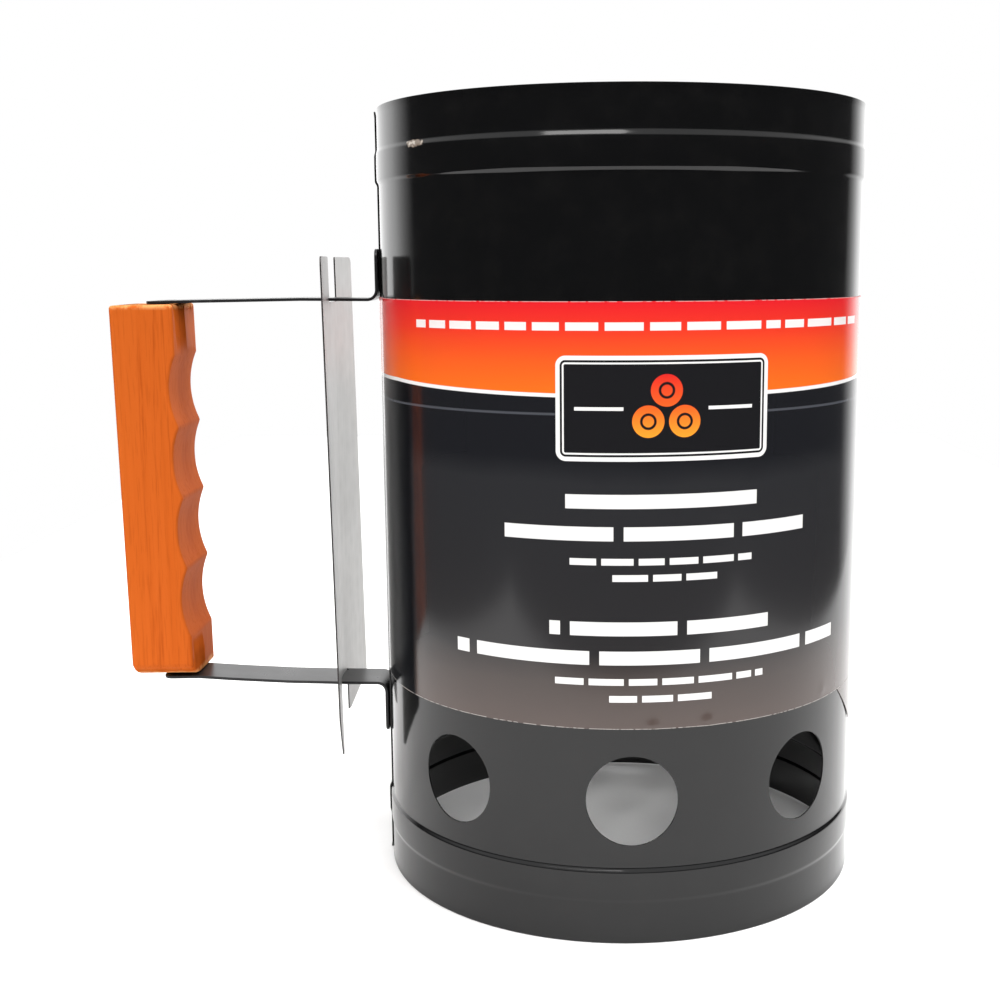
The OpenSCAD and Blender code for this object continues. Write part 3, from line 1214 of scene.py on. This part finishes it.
@dataclass
class LabelWrap:
    """The printed paper wrap, stretched over the seam, with its loose corner."""

    tube: ChimneyTube
    low_z: float = 81.0
    tall: float = 151.0
    paper: float = 0.3
    skin: float = 0.05
    bridge: float = 6.0
    columns: int = 360
    flap_start: float = 150.0
    flap_tip: float = 165.0
    flap_end: float = 167.6
    flap_low: float = 61.5
    finish: Finish = field(default_factory=PrintedLabel)
    dents: tuple[tuple[float, float, float, float], ...] = (
        (107.6, 82.4, 2.6, 0.45),
        (95.4, 82.0, 2.0, 0.28),
        (141.9, 84.5, 1.8, 0.30),
        (60.0, 81.8, 2.4, 0.22),
    )

    def radius(self, round_deg: float, z: float) -> float:
        """Radius of the wrap's outer side.

        Args:
            round_deg: The angle round, from 0 to 360.
            z: The height.

        Returns:
            The radius.
        """
        edge = self.tube.lap_outer - 360.0
        if round_deg > self.tube.lap_rise:
            lift = self.tube.lap_lift(round_deg)
        elif round_deg <= edge:
            lift = self.tube.lap_lift(round_deg + 360.0)
        else:
            slack = max(0.0, 1 - (round_deg - edge) / self.bridge)
            lift = self.tube.lap_lift(self.tube.lap_outer) * slack
        across = self.tube.outer_r * math.pi / 180
        for at, dent_z, size, depth in self.dents:
            d = math.hypot((round_deg - at) * across, z - dent_z) / size
            lift += depth * math.exp(-d * d)
        return self.tube.outer_r + self.skin + self.paper + lift

    def _corner(self, mesh: Mesh) -> None:
        """Adds the corner that hangs below the wrap's lower edge."""
        made = bmesh.ops.create_grid(mesh, x_segments=16, y_segments=4, size=0.5)
        span = self.flap_end - self.flap_start
        knee = (self.flap_tip - self.flap_start) / span
        for v in made["verts"]:
            t, k = v.co.x + 0.5, v.co.y + 0.5
            drop = t / knee if t < knee else (1 - t) / (1 - knee)
            low = self.low_z + 1.0 - (self.low_z + 1.0 - self.flap_low) * drop
            z = low + (self.low_z + 4.0 - low) * k
            r = self.tube.outer_r + 0.2 + 0.35 * drop * (1 - k)
            v.co = around(r, 180 + self.flap_start + span * t, z)

    def build(self) -> bpy.types.Object:
        """Draws the wrap up as a band, fits it to the tube and lays out its print."""
        mesh = bmesh.new()
        bmesh.ops.create_circle(mesh, segments=self.columns, radius=self.tube.outer_r)
        bmesh.ops.translate(mesh, verts=list(mesh.verts), vec=(0, 0, self.low_z))
        zs = [0.0, 0.4, 1.0, 1.8, 2.8, 4.0, 5.5, 7.5, 10.0]
        zs += [10.0 + (self.tall - 13.0) * k / 16 for k in range(1, 17)]
        zs += [self.tall - 1.6, self.tall - 0.7, self.tall]
        moves = [Vector((0, 0, b - a)) for a, b in zip(zs, zs[1:])]
        Bench.draw_out(mesh, list(mesh.edges), moves)

        def fit(p: Vector) -> Vector:
            """Lays one point of the band on the tube."""
            turned = math.degrees(math.atan2(p.y, p.x))
            return around(self.radius((turned - 180.0) % 360.0, p.z), turned, p.z)

        Bench.shape(mesh, fit)
        self._corner(mesh)
        Bench.thicken(mesh, self.paper - self.skin, inward)
        self._lay_out_print(mesh)
        return Bench.hand_over(
            mesh, "paper_wrap", self.finish, Slot.LABEL, ["label_sleeve"], 50.0
        )

    def _lay_out_print(self, mesh: Mesh) -> None:
        """Unrolls the wrap into its flat print, 1 wide once round and 1 tall."""
        layer = mesh.loops.layers.uv.new("print")
        for face in mesh.faces:
            middle = face.calc_center_median()
            base = math.degrees(math.atan2(middle.y, middle.x)) % 360.0
            for loop in face.loops:
                co = loop.vert.co
                a = math.degrees(math.atan2(co.y, co.x)) % 360.0
                a += 360.0 if a - base < -180 else -360.0 if a - base > 180 else 0.0
                loop[layer].uv = (a / 360.0, (co.z - self.low_z) / self.tall)


@dataclass
class StrapBracket:
    """A strap with a flange turned at the tube, notched for the heat shield."""

    name: str
    nodes: tuple[str, ...]
    turn: Turn
    line: tuple[Pair, ...]
    flange_end: float
    notch_s: float
    screw_s: float
    width: float = 20.0
    t: float = 1.2
    flange_in: float = 96.4
    bend_r: float = 3.2
    notch_w: float = 3.0
    hole_r: float = 4.25
    tip_r: float = 4.0
    flange_r: float = 3.0
    edge_r: float = 0.22
    finish: Finish = field(default_factory=SatinEnamel)

    def _centre_line(self) -> list[Pair]:
        """Middle of the strap's thickness, from the flange's end out to the tip."""
        side, half = self.turn.value, self.t / 2
        s0, r = self.flange_in + half, self.bend_r + half
        z0 = self.line[0][1] - half
        points = [(s0, self.flange_end)]
        for k in range(9):
            a = math.radians(90 * k / 8)
            out, up = r * (1 - math.cos(a)), r * (1 - math.sin(a))
            points.append((s0 + out, z0 + side * up))
        points += [(s, z - half) for s, z in self.line[1:]]
        return points

    def _run(self) -> tuple[list[float], list[Pair]]:
        """Distance along the strap at each point of its centre line, and the points."""
        points = self._centre_line()
        run = [0.0]
        for a, b in zip(points, points[1:]):
            run.append(run[-1] + math.dist(a, b))
        return run, points

    def _at_s(self, s: float) -> float:
        """Distance along the strap of a point that is s from the tube's axis."""
        run, points = self._run()
        for i in range(len(points) - 1, 0, -1):
            a, b = points[i - 1], points[i]
            if a[0] <= s <= b[0] + 1e-6 and b[0] - a[0] > 1e-6:
                return run[i - 1] + (s - a[0]) / (b[0] - a[0]) * (run[i] - run[i - 1])
        raise ValueError(f"no point of the strap is {s} mm out")

    def _fold(self, p: Vector) -> Vector:
        """Carries a point of the flat blank to its place on the strap's outer face."""
        run, points = self._run()
        last = len(run) - 1
        reached = (k for k, d in enumerate(run) if d >= p.x - 1e-6)
        i = min(last, max(1, next(reached, last)))
        a, b = Vector(points[i - 1]), Vector(points[i])
        along = (b - a).normalized()
        base = a + along * (p.x - run[i - 1])
        if abs(p.x - run[i]) < 1e-4 and i < last:
            along = (along + (Vector(points[i + 1]) - b).normalized()).normalized()
        out = Vector((-along.y, along.x)) * (-self.turn.value)
        s, z = base + out * (self.t / 2)
        return Vector((-s, p.y, z))

    def build(self) -> bpy.types.Object:
        """Cuts the blank, notches and punches it, folds it and breaks its edges."""
        run, _ = self._run()
        length, half = run[-1], self.width / 2
        mesh = bmesh.new()
        bmesh.ops.create_grid(mesh, x_segments=1, y_segments=1, size=0.5)
        bmesh.ops.scale(mesh, verts=list(mesh.verts), vec=(length, self.width, 1))
        bmesh.ops.translate(mesh, verts=list(mesh.verts), vec=(length / 2, 0, 0))
        notch, w = self._at_s(self.notch_s), self.notch_w / 2
        for x in (notch - w, notch + w):
            Bench.cut(mesh, (x, 0, 0), (1, 0, 0))
        for y in (half - w, w - half):
            Bench.cut(mesh, (0, y, 0), (0, 1, 0))
        waste = [
            f
            for f in mesh.faces
            if abs(f.calc_center_median().x - notch) < w
            and abs(f.calc_center_median().y) > half - w
        ]
        bmesh.ops.delete(mesh, geom=waste, context="FACES")
        Bench.one_face(mesh)
        nooks = [(notch + i * w, j * (half - w)) for i in (-1, 1) for j in (-1, 1)]
        Bench.corners(mesh, nooks, w * 0.95, 5)
        Bench.corners(mesh, [(length, half), (length, -half)], self.tip_r, 8)
        Bench.corners(mesh, [(0.0, half), (0.0, -half)], self.flange_r, 6)
        Bench.punch(mesh, self._at_s(self.screw_s), 0.0, self.hole_r)
        for x in run[1:-1]:
            Bench.cut(mesh, (x, 0, 0), (1, 0, 0))
        Bench.shape(mesh, self._fold)
        Bench.thicken(mesh, self.t, lambda p: Vector((1, 0, self.turn.value)))
        Bench.break_edges(mesh, self.edge_r, 3)
        return Bench.hand_over(mesh, self.name, self.finish, Slot.STRAP, self.nodes)


@dataclass
class HeatShield:
    """The curved zinc plate between handle and tube, caught in the straps' notches."""

    CUT: ClassVar[str] = "cut"

    width: float = 74.0
    t: float = 0.6
    top: float = 248.0
    bow: float = 2.5
    reach: float = 116.7
    turn_z: float = 231.2
    slot_half: float = 8.8
    slot_top: float = 230.0
    slot_low: float = 74.1
    shoulder: float = 65.0
    front_tip: Pair = (-13.0, 43.0)
    rear_tip: Pair = (12.0, 56.0)
    stop_y: float = 5.0
    stop_z: float = 90.0
    stop_r: float = 1.5
    lean: float = 0.7
    low_bow: float = 1.9
    crease: float = 0.18
    corner_r: float = 3.0
    slot_r: float = 0.8
    shoulder_r: float = 2.0
    cells: int = 22
    rows: tuple[float, ...] = (110.0, 140.0, 170.0, 200.0)
    edge_r: float = 0.1
    finish: Finish = field(default_factory=ZincSheet)

    def _half(self, y: int, tip: Pair) -> list[Pair]:
        """Corners of one half of the blank, from the upper slot to the lower one."""
        side, slot = y * self.width / 2, y * self.slot_half
        return [
            (slot, self.slot_top),
            (slot, self.top),
            (side, self.top),
            (side, self.shoulder),
            tip,
            (slot, tip[1]),
            (slot, self.slot_low),
        ]

    def _form(self, p: Vector) -> Vector:
        """Bends the blank along its middle, leans it and stands it at its distance."""
        z = p.y - self.turn_z
        down = max(0.0, min(1.0, -z / (self.turn_z - self.slot_low)))
        full = math.hypot(1.0, self.crease) - self.crease
        share = (math.hypot(2 * p.x / self.width, self.crease) - self.crease) / full
        s = self.t / 2 + self.low_bow * down - (self.bow + self.low_bow * down) * share
        lean = math.radians(self.lean)
        out = s * math.cos(lean) + z * math.sin(lean)
        up = z * math.cos(lean) - s * math.sin(lean)
        return Vector((-self.reach - out, p.x, self.turn_z + up))

    def build(self) -> bpy.types.Object:
        """Cuts the blank, punches its two stops, bows it and breaks its edges."""
        mesh = bmesh.new()
        rear, front = self._half(1, self.rear_tip), self._half(-1, self.front_tip)
        outline = [*rear, *reversed(front)]
        mesh.faces.new([mesh.verts.new((y, z, 0)) for y, z in outline])
        side = self.width / 2
        Bench.corners(mesh, [(side, self.top), (-side, self.top)], self.corner_r, 6)
        slot = self.slot_half
        Bench.corners(mesh, [(slot, self.top), (-slot, self.top)], self.slot_r, 3)
        shoulders = [(side, self.shoulder), (-side, self.shoulder)]
        Bench.corners(mesh, shoulders, self.shoulder_r, 4)
        for y in (-self.stop_y, self.stop_y):
            Bench.punch(mesh, y, self.stop_z, self.stop_r, 20)
        for k in range(1, self.cells):
            Bench.cut(mesh, (-side + self.width * k / self.cells, 0, 0), (1, 0, 0))
        for z in self.rows:
            Bench.cut(mesh, (0, z, 0), (0, 1, 0))
        Bench.shape(mesh, self._form)
        Bench.thicken(mesh, self.t, lambda p: Vector((1, 0, 0)))
        Bench.break_edges(mesh, self.edge_r, 2)
        mesh.normal_update()
        layer = mesh.faces.layers.float.new(self.CUT)
        for face in mesh.faces:
            face[layer] = 1.0 if abs(face.normal.x) < 0.8 else 0.0
        return Bench.hand_over(
            mesh, "zinc_shield", self.finish, Slot.ZINC, ["heat_shield"]
        )


@dataclass
class WoodenHandle:
    """The stained wooden grip with four finger scallops."""

    tall: float = 153.2
    width: float = 35.0
    t: float = 25.0
    at_s: float = 175.2
    at_z: float = 76.4
    lean: float = 0.7
    scallops: int = 4
    depth: float = 3.1
    pitch: float = 28.8
    middle: float = 75.5
    edge_r: float = 1.3
    belly: float = 6.2
    belly_h: float = 8.0
    ridge_w: float = 1.6
    ridge_cut: float = 0.45
    ridge_dip: float = 0.12
    levels: int = 92
    slices: tuple[float, ...] = (0.85, 0.70, 0.53, 0.35, 0.17)
    finish: Finish = field(default_factory=StainedWood)

    def dip(self, z: float) -> float:
        """Depth of the finger scallops at a height on the handle."""
        half = self.pitch / 2
        big = (half * half + self.depth * self.depth) / (2 * self.depth)
        first = self.middle - (self.scallops - 1) / 2 * self.pitch
        off = min(abs(z - first - i * self.pitch) for i in range(self.scallops))
        if off >= half:
            return 0.0
        sharp = 1 - min(1.0, (half - off) / self.ridge_w)
        raw = math.sqrt(big * big - off * off) - big + self.depth
        return raw * (1 - self.ridge_cut * sharp) + self.ridge_dip * sharp

    def rise(self, t: float) -> float:
        """How far the rounded lower end has risen at a share t of half the width."""
        full = self.belly_h * (1 - math.sqrt(max(0.0, 1 - t * t)))
        return min(self.belly, full)

    def _is_corner(self, edge: Edge) -> bool:
        """Whether an edge is one of the block's own, and not a scallop's ridge."""
        a, b = (v.co for v in edge.verts)
        half = self.width / 2 - 0.01
        along_side = abs(a.y) > half and abs(b.y) > half
        at_end = max(a.z, b.z) < self.belly_h or min(a.z, b.z) > self.tall - 0.01
        return along_side or at_end

    def build(self) -> bpy.types.Object:
        """Cuts the side view with its scallops, gives it its width and rounds it."""
        mesh = bmesh.new()
        foot = [mesh.verts.new((x, 0, 0)) for x in (0.0, -self.t / 2, -self.t)]
        row = [mesh.edges.new(pair) for pair in zip(foot, foot[1:])]
        low = self.middle - self.scallops / 2 * self.pitch
        high = self.middle + self.scallops / 2 * self.pitch
        zs = [0.0, self.belly_h + 1.0, low - 1.0]
        zs += [low + (high - low) * k / self.levels for k in range(self.levels + 1)]
        zs += [high + 1.0, self.tall - 2 * self.edge_r, self.tall]
        moves = [Vector((0, 0, b - a)) for a, b in zip(zs, zs[1:])]
        Bench.draw_out(mesh, row, moves)
        half = self.width / 2
        for v in mesh.verts:
            v.co.x -= self.dip(v.co.z) * max(0.0, 1 + v.co.x / (self.t / 2))
            v.co.y = half
        slices = [1.0, *self.slices, 0.0, *(-t for t in reversed(self.slices)), -1.0]
        face = list(mesh.faces)
        for a, b in zip(slices, slices[1:]):
            made = bmesh.ops.extrude_face_region(mesh, geom=face)["geom"]
            moved = [v for v in made if isinstance(v, Vert)]
            bmesh.ops.translate(mesh, verts=moved, vec=(0, (b - a) * half, 0))
            face = [f for f in made if isinstance(f, Face)]
        for v in mesh.verts:
            if v.co.z < 1e-3:
                v.co.z = self.rise(min(0.0, v.co.y / half))
        bmesh.ops.recalc_face_normals(mesh, faces=list(mesh.faces))
        Bench.break_edges(mesh, self.edge_r, 5, 40, self._is_corner)
        turn = Matrix.Rotation(math.radians(-self.lean), 4, "Y")
        place = Matrix.Translation((-self.at_s, 0, self.at_z)) @ turn
        bmesh.ops.transform(mesh, matrix=place, verts=list(mesh.verts))
        return Bench.hand_over(
            mesh, "wooden_grip", self.finish, Slot.WOOD, ["wooden_handle"], 50.0
        )


@dataclass
class Rivet:
    """A domed rivet that holds a strap's flange to the tube."""

    name: str
    node: str
    z: float
    round_deg: float = 0.0
    inner: float = 94.9
    grip: float = 2.7
    shank: float = 2.4
    head: float = 3.2
    head_h: float = 0.7
    tail_h: float = 0.7
    finish: Finish = field(default_factory=SatinEnamel)
    slot: Slot = Slot.STRAP

    def build(self) -> bpy.types.Object:
        """Turns the rivet with its two heads and sets it in its hole."""
        h, r, g = self.head_h, self.head, self.grip
        tail = [(0.0, 1.0), (0.45, 0.97), (0.8, 0.78), (0.95, 0.45), (1.0, 0.0)]
        dome = [(-self.tail_h * a, r * b) for a, b in reversed(tail)]
        dome += [(0.0, self.shank), (g, self.shank)]
        dome += [(g, r), (g + h * 0.3, r), (g + h * 0.62, r * 0.86)]
        dome += [(g + h * 0.88, r * 0.55), (g + h * 0.98, r * 0.25), (g + h, 0.0)]
        mesh = Bench.lathe(dome)
        a = math.radians(180 + self.round_deg)
        place = Matrix.Rotation(a, 4, "Z") @ Matrix.Translation((self.inner, 0, self.z))
        bmesh.ops.transform(mesh, matrix=place, verts=list(mesh.verts))
        return Bench.hand_over(mesh, self.name, self.finish, self.slot, [self.node])


@dataclass
class LapRivet(Rivet):
    """A flatter rivet through the tube's lapped seam."""

    round_deg: float = -2.0
    inner: float = 95.3
    grip: float = 1.34
    shank: float = 1.6
    head: float = 2.7
    tail_h: float = 0.4
    finish: Finish = field(default_factory=BlackEnamel)
    slot: Slot = Slot.ENAMEL


# --------------------------------------------------------------------- studio


@dataclass
class Studio:
    """Camera, pale floor and soft light."""

    eye: Triple = (-0.02031, -0.58165, 0.24361)
    tilt: Triple = (80.6836, 0.2488, 0.1880)
    lens: float = 51.17
    shift: float = -0.0642
    sensor: float = 36.0
    clip: Pair = (0.01, 50.0)
    aim: Triple = (0.0, 0.0, 0.15)
    floor_half: Pair = (0.5, 0.95)
    floor_mid: Triple = (0.0, 0.53, -0.0002)
    pale: tuple[Triple, Triple] = ((0.90, 0.895, 0.89), (0.93, 0.93, 0.93))

    def camera(self) -> None:
        """Sets up the camera and makes it the scene's own."""
        data = bpy.data.cameras.new("view")
        data.lens, data.sensor_width, data.shift_x = self.lens, self.sensor, self.shift
        data.clip_start, data.clip_end = self.clip
        camera = into_scene("view", data)
        camera.location = self.eye
        camera.rotation_euler = Euler([math.radians(a) for a in self.tilt], "XYZ")
        bpy.context.scene.camera = camera

    def floor(self) -> None:
        """Lays a pale matt floor that reaches further back than forward."""
        mesh = bmesh.new()
        bmesh.ops.create_grid(mesh, x_segments=1, y_segments=1, size=1.0)
        bmesh.ops.scale(mesh, verts=list(mesh.verts), vec=(*self.floor_half, 1))
        bmesh.ops.translate(mesh, verts=list(mesh.verts), vec=self.floor_mid)
        floor = into_scene("floor", mesh)
        graph = NodeGraph("pale_floor")
        grain = graph.noise(graph.place(), 60.0, 3.0, 0.5)
        shade = graph.blend(grain, *self.pale)
        floor.data.materials.append(graph.surface(Base_Color=shade, Roughness=0.6))

    def _lamp(
        self,
        name: str,
        at: Triple,
        size: Pair,
        power: float,
        tint: Triple = (1.0, 1.0, 1.0),
    ) -> None:
        """Hangs one soft box that faces the object's middle.

        Args:
            name: The lamp's name.
            at: Where it hangs, in metres.
            size: Its width and height.
            power: Its power in watts.
            tint: The colour of its light.
        """
        data = bpy.data.lights.new(name, "AREA")
        data.shape = "RECTANGLE"
        data.size, data.size_y = size
        data.energy, data.color = power, tint
        lamp = into_scene(name, data)
        lamp.location = at
        aim = Vector(self.aim) - Vector(at)
        lamp.rotation_euler = aim.to_track_quat("-Z", "Y").to_euler()

    def light(self) -> None:
        """Hangs the soft boxes and sets the room's own light."""
        self._lamp("overhead", (0.35, -0.15, 1.6), (1.1, 0.9), 26.0)
        warm = (1.0, 0.985, 0.97)
        self._lamp("front_fill", (-0.5, -1.5, 1.5), (1.2, 0.8), 22.0, warm)
        room = NodeGraph("studio", bpy.data.worlds)
        bpy.context.scene.world = room.owner
        x, y, z = room.parts(room.node("ShaderNodeTexCoord").outputs["Generated"])
        # The pale sheet hangs behind the object; the low front of the room is dark.
        sheet = (y - x.at_least(0.0) * 0.30).above(0.53, 0.28)
        low = 1.0 - z.above(0.26, 0.2)
        dark = low * (1.0 - sheet)
        seen = Shade(room, room.node("ShaderNodeLightPath").outputs["Is Camera Ray"])
        level = 1.0 + (1.0 - seen) * (0.14 + sheet * 0.66 - dark * 1.08)
        glow = {"Color": (1.0, 1.0, 1.0, 1.0), "Strength": level}
        back = room.node("ShaderNodeBackground", None, glow)
        room.node("ShaderNodeOutputWorld", None, {0: back.outputs[0]})
        bpy.context.scene.view_settings.view_transform = "Standard"


# ----------------------------------------------------------------------- main


def main() -> None:
    """Builds every sub-assembly in order."""
    logging.basicConfig(level=logging.INFO, format="%(name)s: %(message)s")
    studio = Studio()
    studio.camera()

    tube = ChimneyTube()
    tube.build()
    LabelWrap(tube).build()
    StrapBracket(
        "upper_strap",
        ("upper_bracket",),
        Turn.UP,
        ((100.8, 231.6), (127.0, 231.85), (172.0, 231.2), (190.0, 230.8)),
        flange_end=251.0,
        notch_s=116.7,
        screw_s=183.8,
    ).build()
    StrapBracket(
        "lower_strap",
        ("lower_bracket",),
        Turn.DOWN,
        (
            (100.8, 73.4),
            (117.0, 73.6),
            (138.0, 74.15),
            (161.0, 75.35),
            (175.0, 76.3),
            (190.0, 76.12),
        ),
        flange_end=52.0,
        notch_s=116.3,
        screw_s=183.7,
    ).build()
    HeatShield().build()
    WoodenHandle().build()
    Rivet("upper_strap_rivet", "upper_bracket_rivet", 241.5).build()
    Rivet("lower_strap_rivet", "lower_bracket_rivet", 64.5).build()
    LapRivet("upper_lap_rivet", "upper_seam_rivet", 296.5).build()
    LapRivet("lower_lap_rivet", "lower_seam_rivet", 10.5).build()
    for node in ("charcoal_grate", "grate_rivets"):
        Bench.dress_node(node, BareSteel())
    for node in ("upper_handle_screw", "lower_handle_screw"):
        Bench.dress_node(node, DarkScrew())

    studio.floor()
    studio.light()


if __name__ == "__main__":
    main()
